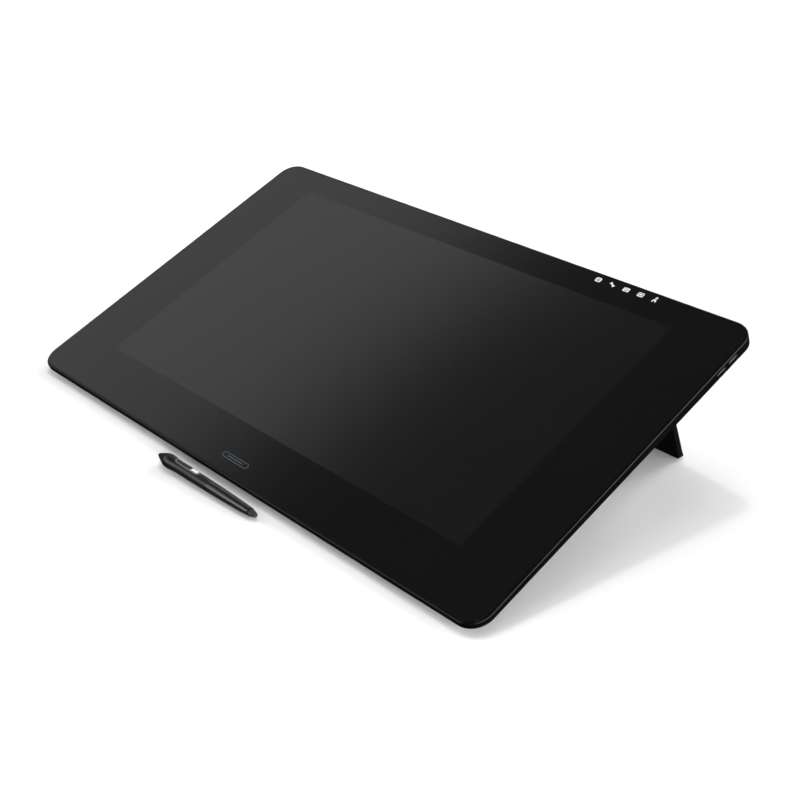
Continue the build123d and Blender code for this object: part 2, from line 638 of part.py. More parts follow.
def fan_housing():
    """Blower housing: round chamber, inlet in the lower face, outlet to the rear, centre spindle."""
    half = FAN_SIZE / 2
    box = block(FAN_X - half, FAN_X + half, FAN_Y - half, FAN_Y + half, -FAN_BOTTOM, -FAN_TOP)
    box = fillet(box.edges().filter_by(Axis.Z), 4)
    box -= post(FAN_X, FAN_Y, IMPELLER_R + 2, FAN_TOP + 1, FAN_BOTTOM - 1)
    box -= block(FAN_X - 20, FAN_X + 20, FAN_Y, FAN_Y + half + 1, -FAN_BOTTOM + 1, -FAN_TOP - 1)
    box -= post(FAN_X, FAN_Y, 15, FAN_BOTTOM - 1, FAN_BOTTOM)
    return box + post(FAN_X, FAN_Y, 2.4, FAN_TOP, FAN_BOTTOM - 1.5)


def fan_impeller():
    """Impeller on the housing's spindle."""
    top, bottom = FAN_TOP + 1.5, FAN_BOTTOM - 1.5
    wheel = post(FAN_X, FAN_Y, 8, top, bottom) + post(FAN_X, FAN_Y, IMPELLER_R - 0.5, top, top + 0.8)
    for i in range(BLADES):
        blade = block(7, IMPELLER_R - 0.5, -0.45, 0.45, -bottom, -top - 0.4)
        wheel += Pos(FAN_X, FAN_Y, 0) * (Rot(0, 0, 360 / BLADES * i) * blade)
    return wheel - post(FAN_X, FAN_Y, 2.45, top, bottom)


def key_board():
    """Touch key board with the key lights, behind the rear bezel."""
    return block(150, 238, 379, 389, -FRAME_DEPTH - 1.2, -FRAME_DEPTH - 0.1)


# ---------------------------------------------------------------- legs
def leg_reach(y):
    """Distance from the hinge axis to the desk, straight out of the back at a given place up the face."""
    return LEG_Z - desk_z(y)


def ear_places():
    """Left side of each hinge ear of the right leg."""
    return (LEG_X0 + EAR_INSET, LEG_X1 - EAR_INSET - EAR_T)


def leg_plate():
    """Right leg: a flat plate, round about its hinge axis, that ends parallel to the desk."""
    outline = [
        (LEG_FRONT_Y, LEG_Z),
        (LEG_FRONT_Y, desk_z(LEG_FRONT_Y) + PAD_H),
        (LEG_REAR_Y, desk_z(LEG_REAR_Y) + PAD_H),
        (LEG_REAR_Y, LEG_Z),
    ]
    section = make_face(Plane.YZ * Polyline(*outline, close=True))
    leg = Pos(LEG_X0, 0, 0) * extrude(section, LEG_X1 - LEG_X0, dir=(1, 0, 0))
    middle = (LEG_X0 + LEG_X1) / 2
    leg += Pos(middle, LEG_Y, LEG_Z) * (Rot(0, 90, 0) * Cylinder(LEG_T / 2, LEG_X1 - LEG_X0))
    for x in ear_places():
        leg -= block(x - EAR_GAP, x + EAR_T + EAR_GAP, LEG_Y - 10, LEG_Y + 10, LEG_Z - NOTCH, LEG_Z + 10)
        reach = EAR_T + 2 * PIN_REACH + 0.6
        leg -= Pos(x + EAR_T / 2, LEG_Y, LEG_Z) * (Rot(0, 90, 0) * Cylinder(PIN_R + RUNNING, reach))
    corners = leg.edges().filter_by(Axis.Z).filter_by(lambda e: e.length > 40)
    return fillet(corners, LEG_EDGE_R)


def leg_pad():
    """Rubber edge of the right leg, with its foot parallel to the desk and round outer corners."""
    outline = [
        (LEG_FRONT_Y, desk_z(LEG_FRONT_Y) + PAD_H),
        (LEG_FRONT_Y, desk_z(LEG_FRONT_Y)),
        (LEG_REAR_Y, desk_z(LEG_REAR_Y)),
        (LEG_REAR_Y, desk_z(LEG_REAR_Y) + PAD_H),
    ]
    section = make_face(Plane.YZ * Polyline(*outline, close=True))
    pad = Pos(LEG_X0, 0, 0) * extrude(section, LEG_X1 - LEG_X0, dir=(1, 0, 0))
    ends = pad.edges().filter_by(Axis.Y, tolerance=25).sort_by(Axis.Z)[:2]
    return fillet(ends, 2.5)


def hinge_brackets():
    """Four steel brackets, two for each leg: a foot on the chassis and an ear down to the hinge axis."""
    brackets = []
    for x in ear_places():
        base = block(x - 8, x + EAR_T + 8, LEG_Y - 9, LEG_Y + 9, -CHASSIS_BOTTOM - 2, -CHASSIS_BOTTOM)
        ear = block(x, x + EAR_T, LEG_Y - EAR_HALF_Y, LEG_Y + EAR_HALF_Y, LEG_Z, -CHASSIS_BOTTOM)
        ear += Pos(x + EAR_T / 2, LEG_Y, LEG_Z) * (Rot(0, 90, 0) * Cylinder(EAR_HALF_Y, EAR_T))
        hole = Pos(x + EAR_T / 2, LEG_Y, LEG_Z) * (Rot(0, 90, 0) * Cylinder(PIN_R, EAR_T))
        brackets += both_sides(base + ear - hole)
    return brackets


def hinge_pins():
    """Four short pins, one pressed into each ear, on which the legs turn."""
    pins = []
    for x in ear_places():
        pin = Rot(0, 90, 0) * Cylinder(PIN_R, EAR_T + 2 * PIN_REACH)
        pins += both_sides(Pos(x + EAR_T / 2, LEG_Y, LEG_Z) * pin)
    return pins


# ---------------------------------------------------------------- pen
def pen_body(x0, x1, grow=0.0):
    """Solid of revolution with the pen's outline between two places, grown outwards by a little."""
    shoulder = (FLARE_X - 5.0, FLARE_R - 0.45)
    flank = Line((NOSE_X, NOSE_R), shoulder)
    belly = Spline(shoulder, (FLARE_X, FLARE_R), *BARREL_POINTS)
    profile = flank + belly
    closing = Polyline((RING_X, BARREL_POINTS[-1][1]), (RING_X, -grow), (NOSE_X, -grow), (NOSE_X, NOSE_R))
    face = Pos(0, grow) * make_face(profile + closing)
    solid = revolve(Plane.XY * face, Axis.X)
    return solid & block(x0, x1, -20, 20, -20, 20)


def pen_nose():
    """Hard collar around the nib."""
    cone = Rot(0, 90, 0) * Cone(1.8, NOSE_R, NOSE_X - 2.2)
    cone = Pos((NOSE_X + 2.2) / 2, 0, 0) * cone
    return cone - Pos(NOSE_X / 2, 0, 0) * (Rot(0, 90, 0) * Cylinder(NIB_R + RUNNING, NOSE_X + 2))


def pen_nib():
    """Replaceable nib that slides in its collar."""
    rod = Pos(6.4, 0, 0) * (Rot(0, 90, 0) * Cylinder(NIB_R, 10.4))
    return rod + Pos(1.2, 0, 0) * Sphere(NIB_R) + Pos(0.7, 0, 0) * (Rot(0, 90, 0) * Cone(0.35, 0.78, 1.4))


def switch_pocket():
    return Pos(0, 0, SWITCH_FLOOR) * extrude(switch_outline(0), 10)


def switch_outline(inset):
    length = SWITCH_X1 - SWITCH_X0
    slot = SlotOverall(length - 2 * inset, SWITCH_W - 2 * inset)
    return Pos((SWITCH_X0 + SWITCH_X1) / 2, 0) * slot


def pen_bore(x0, x1):
    return Pos((x0 + x1) / 2, 0, 0) * (Rot(0, 90, 0) * Cylinder(PEN_BORE_R, x1 - x0))


def pen_grip():
    """Rubber grip with the flare and the side switch's pocket."""
    grip = pen_body(NOSE_X, SEAM_X) - pen_bore(NOSE_X + 2.5, SEAM_X + 1)
    grip -= Pos(NOSE_X + 2, 0, 0) * (Rot(0, 90, 0) * Cylinder(NIB_R + RUNNING, 6))
    return grip - switch_pocket()


def pen_barrel():
    """Hard rear half of the pen, with a thin joint groove behind the grip."""
    barrel = pen_body(SEAM_X, RING_X) - pen_bore(SEAM_X - 1, RING_X - 7)
    barrel -= Pos(RING_X - 4, 0, 0) * (Rot(0, 90, 0) * Cylinder(STEM_R + RUNNING, 10))
    groove = Rot(0, 90, 0) * (Cylinder(8, 0.5) - Cylinder(5.6, 0.5))
    return barrel - Pos(SEAM_X + 0.25, 0, 0) * groove


def switch_cavity():
    """Space inside the switch's rim, where the rocker moves."""
    length = ROCKER_X1 - SWITCH_X0 - SWITCH_RIM
    slot = Pos(SWITCH_X0 + SWITCH_RIM + length / 2, 0) * SlotOverall(length, SWITCH_W - 2 * SWITCH_RIM)
    return Pos(0, 0, SWITCH_FLOOR - 1) * extrude(slot, 12)


def trunnion(half_width, radius):
    """Cross pin that the side switch rocks on."""
    x = (SWITCH_X0 + SWITCH_RIM + ROCKER_X1) / 2
    return Pos(x, 0, TRUNNION_Z) * (Rot(90, 0, 0) * Cylinder(radius, 2 * half_width))


def pen_switch_rim():
    """Bright rim around the side switch, solid behind the rocker."""
    form = pen_body(NOSE_X, SEAM_X, 0.25)
    inner = Pos(0, 0, SWITCH_FLOOR) * extrude(switch_outline(0.05), 10)
    return (form & inner) - switch_cavity() - trunnion(SWITCH_W / 2 - 0.25, TRUNNION_R + RUNNING)


def pen_rocker():
    """Side switch: one rocker with a rib between its two ends."""
    length = ROCKER_X1 - SWITCH_X0 - SWITCH_RIM - 0.5
    middle = (SWITCH_X0 + SWITCH_RIM + ROCKER_X1) / 2
    slot = Pos(middle, 0) * SlotOverall(length, SWITCH_W - 2 * SWITCH_RIM - 0.5)
    rocker = pen_body(NOSE_X, SEAM_X, 0.3) & (Pos(0, 0, SWITCH_FLOOR + 0.7) * extrude(slot, 10))
    rib = pen_body(NOSE_X, SEAM_X, 0.65) & block(middle - 0.7, middle + 0.7, -1.7, 1.7, 5, 9)
    return rocker + rib + trunnion(SWITCH_W / 2 - 0.35, TRUNNION_R)


def pen_tail_ring():
    """Ring between the barrel and the tail button."""
    radius = BARREL_POINTS[-1][1]
    ring = Cylinder(radius, ERASER_X - RING_X) - Cylinder(STEM_R + RUNNING, ERASER_X - RING_X)
    return Pos((RING_X + ERASER_X) / 2, 0, 0) * (Rot(0, 90, 0) * ring)


def pen_tail_button():
    """Tapered tail button on a stem that slides into the barrel."""
    radius = BARREL_POINTS[-1][1] - 0.25
    taper = Rot(0, 90, 0) * Cone(radius, 2.0, PEN_L - ERASER_X - 1.2)
    button = Pos((ERASER_X + 1.2 + PEN_L) / 2, 0, 0) * taper
    button = fillet(button.edges().group_by(Axis.X)[-1], 1.7)
    return button + Pos(140.0, 0, 0) * (Rot(0, 90, 0) * Cylinder(STEM_R, 10.0))


def pen_board():
    """Circuit board inside the pen."""
    return block(28, 132, -2.2, 2.2, -0.6, 0.6)


def pen_coil():
    """Coil and core behind the nib."""
    coil = Cylinder(2.8, 13) - Cylinder(1.0, 13)
    return Pos(19.5, 0, 0) * (Rot(0, 90, 0) * coil)


def pen_places():
    """Pen's own frame in the row frame: on its flare and belly on the desk, switch almost on top."""
    pitch = degrees(asin(PEN_PITCH_SIN))
    lift = FLARE_R + FLARE_X * PEN_PITCH_SIN
    tip = Location((PEN_TIP_X, FACE_Y - PEN_TIP_AHEAD, lift))
    return tip * Rot(0, 0, PEN_YAW) * Rot(0, pitch, 0) * Rot(PEN_ROLL, 0, 0)


# ---------------------------------------------------------------- write the parts
def tablet_nodes():
    """Every node of the tablet, in the slab frame."""
    outer = back_body(0, 0, SEAM_TOP + SEAM_GAP)
    nodes = {
        "cover_glass": cover_glass(),
        "black_mask": black_mask(),
        "key_windows": key_windows(),
        "optical_bond": optical_bond(),
        "touch_sensor": touch_sensor(),
        "glass_adhesive": glass_adhesive(),
        "front_frame": front_frame(),
        "lcd_panel": lcd_panel(),
        "diffuser_sheets": diffuser_sheets(),
        "light_guide": light_guide(),
        "led_bars": led_bars(),
        "reflector_sheet": reflector_sheet(),
        "backlight_tray": backlight_tray(),
        "digitizer_board": digitizer_board(),
        "shield_plate": shield_plate(),
        "chassis_plate": chassis_plate(),
        "chassis_screws": chassis_screws(),
        "rear_cover": rear_cover(outer),
        "leg_wells": leg_wells(outer),
        "connector_bay": connector_bay(outer),
        "cover_screws": cover_screws(),
        "vesa_inserts": vesa_inserts(),
        "front_feet": front_feet(outer),
        "rear_feet": rear_feet(),
        "connector_cover": connector_cover(),
        "usb_ports": [usb_shell(side, y) for side in (-1, 1) for y in PORT_YS],
        "usb_tongues": usb_tongues(),
        "usb_board_right": usb_board(1, 326),
        "usb_board_left": usb_board(-1, 284),
        "card_slot": card_slot(),
        "power_button": power_button(),
        "power_switch_board": power_switch_board(),
        "lock_plate": lock_plate(),
        "main_board": main_board(),
        "board_standoffs": board_standoffs(),
        "board_screws": board_screws(),
        "rear_connectors": rear_connectors(),
        "heat_spreader": heat_spreader(),
        "heat_pipe": heat_pipe(),
        "fin_stacks": both_sides(fin_stack()),
        "fan_housings": both_sides(fan_housing()),
        "hinge_brackets": hinge_brackets(),
        "hinge_pins": hinge_pins(),
        "key_board": key_board(),
    }
    sided = {
        "fan_impeller": fan_impeller(),
        "leg": leg_plate(),
        "leg_pad": leg_pad(),
    }
    for name, right in sided.items():
        nodes[f"{name}_right"] = right
        nodes[f"{name}_left"] = mirrored(right)
    return nodes


def pen_nodes():
    """Every node of the pen, in the pen's frame."""
    return {
        "pen_nib": pen_nib(),
        "pen_nose": pen_nose(),
        "pen_grip": pen_grip(),
        "pen_barrel": pen_barrel(),
        "pen_switch_rim": pen_switch_rim(),
        "pen_rocker": pen_rocker(),
        "pen_tail_ring": pen_tail_ring(),
        "pen_tail_button": pen_tail_button(),
        "pen_board": pen_board(),
        "pen_coil": pen_coil(),
    }


def write(nodes, place):
    """Sets each node in the row frame and writes its STEP file."""
    for name, shape in nodes.items():
        pieces = shape if isinstance(shape, list) else [shape]
        solids = [solid for piece in pieces for solid in piece.solids()]
        placed = [solid.moved(place) for solid in solids]
        export_step(placed[0] if len(placed) == 1 else Compound(children=placed), f"parts/{name}.step")


def main():
    os.makedirs("parts", exist_ok=True)
    write(tablet_nodes(), SLAB)
    write(pen_nodes(), pen_places())


if __name__ == "__main__":
    main()
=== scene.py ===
import json
from math import asin, cos, pi, radians, sin

import bmesh
import bpy
from mathutils import Matrix, Vector


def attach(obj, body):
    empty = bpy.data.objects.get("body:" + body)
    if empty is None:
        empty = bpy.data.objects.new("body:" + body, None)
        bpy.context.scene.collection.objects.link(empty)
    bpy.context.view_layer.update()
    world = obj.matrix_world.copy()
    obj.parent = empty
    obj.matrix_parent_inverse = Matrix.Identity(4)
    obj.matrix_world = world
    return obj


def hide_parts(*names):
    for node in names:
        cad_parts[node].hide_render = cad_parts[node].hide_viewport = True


# A 24-inch pen drawing tablet on its fold-out legs, with its pen lying in front of it. Metres. The
# tablet's own frame (X to the right, Y up the face from its front edge, Z out of the glass) and the
# pen's own frame are the ones that the CAD part uses.

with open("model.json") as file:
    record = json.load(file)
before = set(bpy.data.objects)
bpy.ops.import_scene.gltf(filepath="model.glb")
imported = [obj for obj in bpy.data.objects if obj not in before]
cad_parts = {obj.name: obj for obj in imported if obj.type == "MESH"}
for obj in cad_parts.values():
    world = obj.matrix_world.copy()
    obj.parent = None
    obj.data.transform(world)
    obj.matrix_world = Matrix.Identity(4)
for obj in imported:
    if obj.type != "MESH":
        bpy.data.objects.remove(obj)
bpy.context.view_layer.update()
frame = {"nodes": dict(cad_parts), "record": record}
MM = 0.001

# ---------------------------------------------------------------- places shared with the CAD part
TILT = radians(20.0)
WIDTH, DEPTH, CORNER_R = 677.0, 394.0, 21.0
RIM = 2.2
GLASS_T = 1.2
WINDOW_W, WINDOW_D, WINDOW_Y, WINDOW_R = 534.0, 300.4, 209.0, 0.8
WALL_REAR = 11.4
FOOT_Y, FOOT_DEPTH = 14.0, 15.2
KEY_XS = (158.8, 176.4, 194.0, 211.6, 228.8)
KEY_Y = 384.1
FLARE_R, FLARE_X = 7.25, 19.5
PEN_TIP_X, PEN_TIP_AHEAD = -75.6, 19.4
PEN_REST_R, PEN_REST_X = 5.7, 100.0
PEN_YAW, PEN_ROLL = radians(1.3), radians(-10.0)
PEN_PITCH = asin((FLARE_R - PEN_REST_R) / (PEN_REST_X - FLARE_X))
PLATE_START, PLATE_END, PLATE_HALF = 54.3, 63.6, 1.9

FACE_HEIGHT = FOOT_DEPTH * cos(TILT) - FOOT_Y * sin(TILT)
SET_FRONT = -PEN_TIP_AHEAD - FLARE_R
SET_REAR = DEPTH * cos(TILT) + WALL_REAR * sin(TILT)
FACE_Y = -(SET_FRONT + SET_REAR) / 2
SLAB = Matrix.Translation((0, FACE_Y * MM, FACE_HEIGHT * MM)) @ Matrix.Rotation(TILT, 4, "X")
PEN_TIP = Vector((PEN_TIP_X, FACE_Y - PEN_TIP_AHEAD, FLARE_R + FLARE_X * sin(PEN_PITCH))) * MM
PEN = Matrix.Translation(PEN_TIP) @ Matrix.Rotation(PEN_YAW, 4, "Z")
PEN = PEN @ Matrix.Rotation(PEN_PITCH, 4, "Y") @ Matrix.Rotation(PEN_ROLL, 4, "X")


# ---------------------------------------------------------------- node helpers
def add(tree, kind, inputs=None, **settings):
    """One shader node: settings are its properties, inputs are values or sockets to link."""
    made = tree.nodes.new("ShaderNode" + kind)
    for key, value in settings.items():
        setattr(made, key, value)
    for key, value in (inputs or {}).items():
        if isinstance(value, bpy.types.NodeSocket):
            tree.links.new(value, made.inputs[key])
        else:
            made.inputs[key].default_value = value
    return made


def grey(value):
    return (value, value, value, 1.0)


def rgb(red, green, blue):
    return (red, green, blue, 1.0)


def start_material(name, roughness, metallic=0.0, specular=0.5, **sockets):
    """A material with one Principled shader, whose constant sockets are set here."""
    material = bpy.data.materials.new(name)
    material.use_nodes = True
    tree = material.node_tree
    shader = tree.nodes["Principled BSDF"]
    shader.inputs["Roughness"].default_value = roughness
    shader.inputs["Metallic"].default_value = metallic
    shader.inputs["Specular IOR Level"].default_value = specular
    for key, value in sockets.items():
        shader.inputs[key.replace("_", " ")].default_value = value
    return material, tree, shader


def place_coordinates(tree, stretch=(1, 1, 1)):
    """Object coordinates turned into the slab's frame, stretched along its axes."""
    source = add(tree, "TexCoord").outputs["Object"]
    levelled = add(tree, "Mapping", {"Vector": source, "Rotation": (-TILT, 0, 0)}).outputs["Vector"]
    return add(tree, "Mapping", {"Vector": levelled, "Scale": stretch}).outputs["Vector"]


def noise(tree, vector, scale, detail=2.0, roughness=0.5):
    sockets = {"Vector": vector, "Scale": scale, "Detail": detail, "Roughness": roughness}
    return add(tree, "TexNoise", sockets).outputs["Fac"]


def spread(tree, value, low, high, source_low=0.3, source_high=0.7):
    """Maps a value from its source range onto the range from low to high."""
    sockets = {"Value": value, "From Min": source_low, "From Max": source_high}
    return add(tree, "MapRange", {**sockets, "To Min": low, "To Max": high}).outputs["Result"]


def blend_colours(tree, factor, low, high):
    mix = add(tree, "Mix", {0: factor, 6: low, 7: high}, data_type="RGBA")
    return mix.outputs[2]


def bump(tree, height, distance, strength=1.0, normal=None):
    sockets = {"Height": height, "Distance": distance, "Strength": strength}
    if normal:
        sockets["Normal"] = normal
    return add(tree, "Bump", sockets).outputs["Normal"]


# ---------------------------------------------------------------- materials
MOTTLE_SCALE = 35.0  # of the broad mottling, per metre
GLOSS_SWING = 0.06  # how far the roughness strays to either side
REARWARDS = (0.0, 0.766, -0.643)  # backwards and down, the way the hidden side of the slab faces


def textured(name, low, high, roughness, grain=0.45, depth=0.02, metallic=0.0, specular=0.5,
             stretch=(1, 1, 1), edge=0.0, painted_rear_light=None):
    """Moulded, cast or brushed surface: mottled colour, uneven gloss and a fine grain in relief.

    grain is the grain's size and depth its height, in millimetres; edge rounds sharp edges by that much.
    The last argument is painted light: a lighter colour for the faces that point backwards and down,
    standing in for light that barely reaches them.
    """
    material, tree, shader = start_material(name, roughness, metallic, specular)
    vector = place_coordinates(tree, stretch)
    fine = noise(tree, vector, 1 / (grain * MM), 3.0, 0.6)
    broad = noise(tree, vector, MOTTLE_SCALE, 3.0)
    both = add(tree, "Math", {0: fine, 1: broad}, operation="ADD").outputs[0]
    mottle = spread(tree, both, 0.0, 1.0, 0.7, 1.3)
    colour = blend_colours(tree, mottle, low, high)
    # Painted light: faces that point backwards and down blend into the lighter colour given for them.
    if painted_rear_light:
        normal = add(tree, "TexCoord").outputs["Normal"]
        facing = add(tree, "VectorMath", {0: normal, 1: REARWARDS}, operation="DOT_PRODUCT")
        behind = blend_colours(tree, mottle, painted_rear_light, grey(painted_rear_light[0] * 1.3))
        painted_light_mask = spread(tree, facing.outputs["Value"], 0.0, 1.0, 0.35, 0.5)
        colour = blend_colours(tree, painted_light_mask, colour, behind)
    tree.links.new(colour, shader.inputs["Base Color"])
    gloss = spread(tree, both, roughness - GLOSS_SWING, roughness + GLOSS_SWING, 0.7, 1.3)
    tree.links.new(gloss, shader.inputs["Roughness"])
    normal = None
    if edge:
        normal = add(tree, "Bevel", {"Radius": edge * MM}, samples=4).outputs["Normal"]
    tree.links.new(bump(tree, fine, depth * MM, 0.6, normal), shader.inputs["Normal"])
    return material


def circuit_board(name):
    """Green solder mask over a pattern of copper traces."""
    material, tree, shader = start_material(name, 0.35)
    vector = place_coordinates(tree)
    bricks = add(tree, "TexBrick", {"Vector": vector, "Scale": 160.0, "Color1": rgb(0.012, 0.10, 0.045),
                                    "Color2": rgb(0.016, 0.12, 0.055), "Mortar": rgb(0.045, 0.20, 0.09),
                                    "Mortar Size": 0.03})
    dots = add(tree, "TexVoronoi", {"Vector": vector, "Scale": 420.0}).outputs["Distance"]
    vias = spread(tree, dots, 1.0, 0.0, 0.08, 0.14)
    colour = blend_colours(tree, vias, bricks.outputs["Color"], rgb(0.62, 0.48, 0.26))
    tree.links.new(colour, shader.inputs["Base Color"])
    tree.links.new(bump(tree, bricks.outputs["Fac"], 0.02 * MM), shader.inputs["Normal"])
    return material


def dark_panel(name):
    """Switched-off panel: dark, with its fine grid of cells."""
    material, tree, shader = start_material(name, 0.3)
    vector = place_coordinates(tree)
    sockets = {"Vector": vector, "Scale": 1800.0, "Color1": grey(0.012), "Color2": grey(0.016),
               "Mortar": grey(0.004), "Mortar Size": 0.06}
    cells = add(tree, "TexBrick", sockets, offset=0.0)
    tree.links.new(cells.outputs["Color"], shader.inputs["Base Color"])
    tree.links.new(bump(tree, cells.outputs["Fac"], 0.01 * MM), shader.inputs["Normal"])
    return material


def etched_glass(name, base, roughness, specular, tilt=0.0):
    """Etched anti-glare glass, black behind, with a very fine relief; tilt leans its gloss along X."""
    material, tree, shader = start_material(name, roughness, 0.0, specular)
    vector = place_coordinates(tree)
    fine = noise(tree, vector, 5000.0, 2.0, 0.7)
    broad = noise(tree, vector, 12.0, 2.0)
    colour = blend_colours(tree, broad, grey(base * 0.92), grey(base * 1.08))
    tree.links.new(colour, shader.inputs["Base Color"])
    tree.links.new(spread(tree, fine, roughness - 0.03, roughness + 0.03), shader.inputs["Roughness"])
    normal = add(tree, "NewGeometry").outputs["Normal"]
    leaning = add(tree, "VectorMath", {0: normal, 1: (tilt, 0.0, 0.0)}, operation="ADD")
    relief = bump(tree, fine, 0.0008 * MM, 0.3, leaning.outputs["Vector"])
    tree.links.new(relief, shader.inputs["Normal"])
    return material


def pen_trim_with_painted_glint(name):
    """Silver trim of the pen: grey rim lines, partly a painted edge highlight, and a near-white painted
    highlight on the end plate of the side switch.
    """
    material, tree, shader = start_material(name, 0.28, 0.25)
    source = add(tree, "TexCoord").outputs["Object"]
    from_tip = add(tree, "VectorMath", {0: source, 1: PEN.translation}, operation="SUBTRACT")
    along, across = (add(tree, "VectorMath", {0: from_tip.outputs["Vector"], 1: PEN.col[i].to_3d()},
                         operation="DOT_PRODUCT").outputs["Value"] for i in (0, 1))
    plate_middle = (PLATE_START + PLATE_END) / 2 * MM
    middle = add(tree, "Math", {0: along, 1: -plate_middle}, operation="ADD").outputs[0]
    parts = []
    for value, half in ((middle, (PLATE_END - PLATE_START) / 2), (across, PLATE_HALF)):
        distance = add(tree, "Math", {0: value}, operation="ABSOLUTE").outputs[0]
        parts.append(spread(tree, distance, 1.0, 0.0, (half - 0.1) * MM, half * MM))
    # Mask of the painted highlight on the switch's end plate.
    plate = add(tree, "Math", {0: parts[0], 1: parts[1]}, operation="MULTIPLY").outputs[0]
    speck = noise(tree, place_coordinates(tree), 9000.0, 2.0)
    colour = blend_colours(tree, plate, grey(0.20), grey(0.86))
    colour = blend_colours(tree, spread(tree, speck, 0.0, 0.12), colour, grey(0.5))
    tree.links.new(colour, shader.inputs["Base Color"])
    tree.links.new(bump(tree, speck, 0.003 * MM, 0.6), shader.inputs["Normal"])
    return material


def key_print_painted_glow(name):
    """White print of the touch keys, with a faint painted glow."""
    # The faint emission is a painted glow.
    material, tree, shader = start_material(name, 0.45, Emission_Strength=0.10)
    vector = place_coordinates(tree)
    speck = noise(tree, vector, 3000.0, 2.0)
    colour = blend_colours(tree, speck, grey(0.60), grey(0.68))
    tree.links.new(colour, shader.inputs["Base Color"])
    tree.links.new(colour, shader.inputs["Emission Color"])
    tree.links.new(bump(tree, speck, 0.004 * MM), shader.inputs["Normal"])
    return material


def make_materials():
    brushed = (1, 40, 40)
    return {
        "glass": etched_glass("etched_glass", 0.0048, 0.13, 0.5),
        "glass_window": etched_glass("etched_glass_window", 0.0072, 0.13, 0.6, tilt=-0.017),
        "black_ink": textured("black_ink", grey(0.006), grey(0.009), 0.55, 0.2, 0.004),
        "display": dark_panel("display_off"),
        "film": textured("optical_film", rgb(0.72, 0.75, 0.78), rgb(0.80, 0.82, 0.84), 0.25, 0.3, 0.004),
        "light_guide": textured("light_guide", rgb(0.74, 0.80, 0.82), rgb(0.82, 0.86, 0.88), 0.12, 1.2,
                                0.004),
        "adhesive": textured("foam_tape", grey(0.02), grey(0.04), 0.8, 0.3, 0.05),
        "frame": textured("anodised_frame", grey(0.002), grey(0.003), 0.26, 0.12, 0.002, specular=0.22),
        # Its faces that point backwards and down get painted light, a lighter grey.
        "housing": textured("moulded_housing", grey(0.0012), grey(0.0022), 0.56, 0.42, 0.022,
                            specular=0.06, edge=0.3, painted_rear_light=grey(0.024)),
        "chassis": textured("cast_plate", rgb(0.36, 0.37, 0.38), rgb(0.46, 0.47, 0.48), 0.45, 0.6, 0.03,
                            metallic=0.9),
        "steel": textured("plated_steel", grey(0.10), grey(0.14), 0.36, 0.5, 0.006,
                          metallic=1.0, stretch=brushed),
        # Its faces that point backwards and down get painted light, a lighter grey.
        "leg": textured("moulded_leg", grey(0.0014), grey(0.0026), 0.5, 0.42, 0.022,
                        specular=0.12, edge=0.3, painted_rear_light=grey(0.020)),
        "rubber": textured("black_rubber", grey(0.003), grey(0.005), 0.7, 0.35, 0.03,
                           specular=0.08, edge=0.3),
        "screw": textured("black_zinc", grey(0.03), grey(0.06), 0.34, 0.25, 0.01, metallic=0.8),
        "brass": textured("knurled_brass", rgb(0.62, 0.44, 0.20), rgb(0.72, 0.54, 0.27), 0.32, 0.5, 0.05,
                          metallic=1.0, stretch=(4, 4, 1)),
        "circuit_board": circuit_board("circuit_board"),
        "connector_metal": textured("nickel_shell", grey(0.16), grey(0.20), 0.4, 0.4, 0.002, metallic=1.0),
        "connector_plastic": textured("connector_plastic", grey(0.10), grey(0.13), 0.42, 0.3, 0.01),
        "copper": textured("copper", rgb(0.66, 0.30, 0.17), rgb(0.76, 0.38, 0.23), 0.3, 0.5, 0.006,
                           metallic=1.0, stretch=brushed),
        "fan_plastic": textured("fan_plastic", grey(0.014), grey(0.022), 0.45, 0.5, 0.01),
        "button": textured("satin_button", grey(0.03), grey(0.05), 0.36, 0.15, 0.004,
                           metallic=0.6, edge=0.2),
        "key_light": key_print_painted_glow("key_print_painted_glow"),
        "pen_rubber": textured("pen_grip_rubber", grey(0.006), grey(0.010), 0.3, 0.14, 0.003, edge=0.2),
        "pen_barrel": textured("pen_satin", grey(0.010), grey(0.014), 0.18, 0.1, 0.001,
                               specular=0.8, edge=0.2),
        "pen_gloss": textured("pen_polish", grey(0.008), grey(0.013), 0.16, 0.5, 0.001, edge=0.15),
        "pen_tail": textured("pen_tail_satin", grey(0.028), grey(0.038), 0.3, 0.3, 0.001, edge=0.15),
        # Pen trim, with a painted highlight on the side switch.
        "pen_bright": pen_trim_with_painted_glint("pen_silver_and_painted_glint"),
        "nib": textured("nib_acetal", grey(0.010), grey(0.018), 0.4, 0.1, 0.003),
        "mark": textured("printed_mark", rgb(0.045, 0.058, 0.075), rgb(0.06, 0.075, 0.095), 0.4, 0.2,
                         0.002),
    }


# ---------------------------------------------------------------- mesh helpers
def finish_mesh(name, mesh, bm, materials, body):
    """Turns a bmesh into an object that rides on a body and wears the given materials."""
    bmesh.ops.recalc_face_normals(bm, faces=bm.faces)
    bm.to_mesh(mesh)
    bm.free()
    made = bpy.data.objects.new(name, mesh)
    bpy.context.scene.collection.objects.link(made)
    for material in materials:
        mesh.materials.append(material)
    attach(made, body)
    return made


def rounded_rectangle(width, y0, y1, radius, steps=12):
    """Points of a round-cornered outline centred on X, anticlockwise, in millimetres."""
    points = []
    half = width / 2
    corners = ((half - radius, y0 + radius, -pi / 2), (half - radius, y1 - radius, 0.0),
               (radius - half, y1 - radius, pi / 2), (radius - half, y0 + radius, pi))
    for cx, cy, start in corners:
        for i in range(steps + 1):
            angle = start + pi / 2 * i / steps
            points.append((cx + radius * cos(angle), cy + radius * sin(angle)))
    return points


def ring_of(bm, outline, z, place):
    return [bm.verts.new(place @ Vector((x * MM, y * MM, z * MM))) for x, y in outline]


def bridge(bm, first, second):
    """Quads between two rings with the same number of points."""
    count = len(first)
    for i in range(count):
        j = (i + 1) % count
        bm.faces.new((first[i], first[j], second[j], second[i]))


# ---------------------------------------------------------------- the face
GLASS_INSET = RIM + 0.15  # from the slab's outline to the glass, with its fitting gap
GROUND_EDGE = 0.25


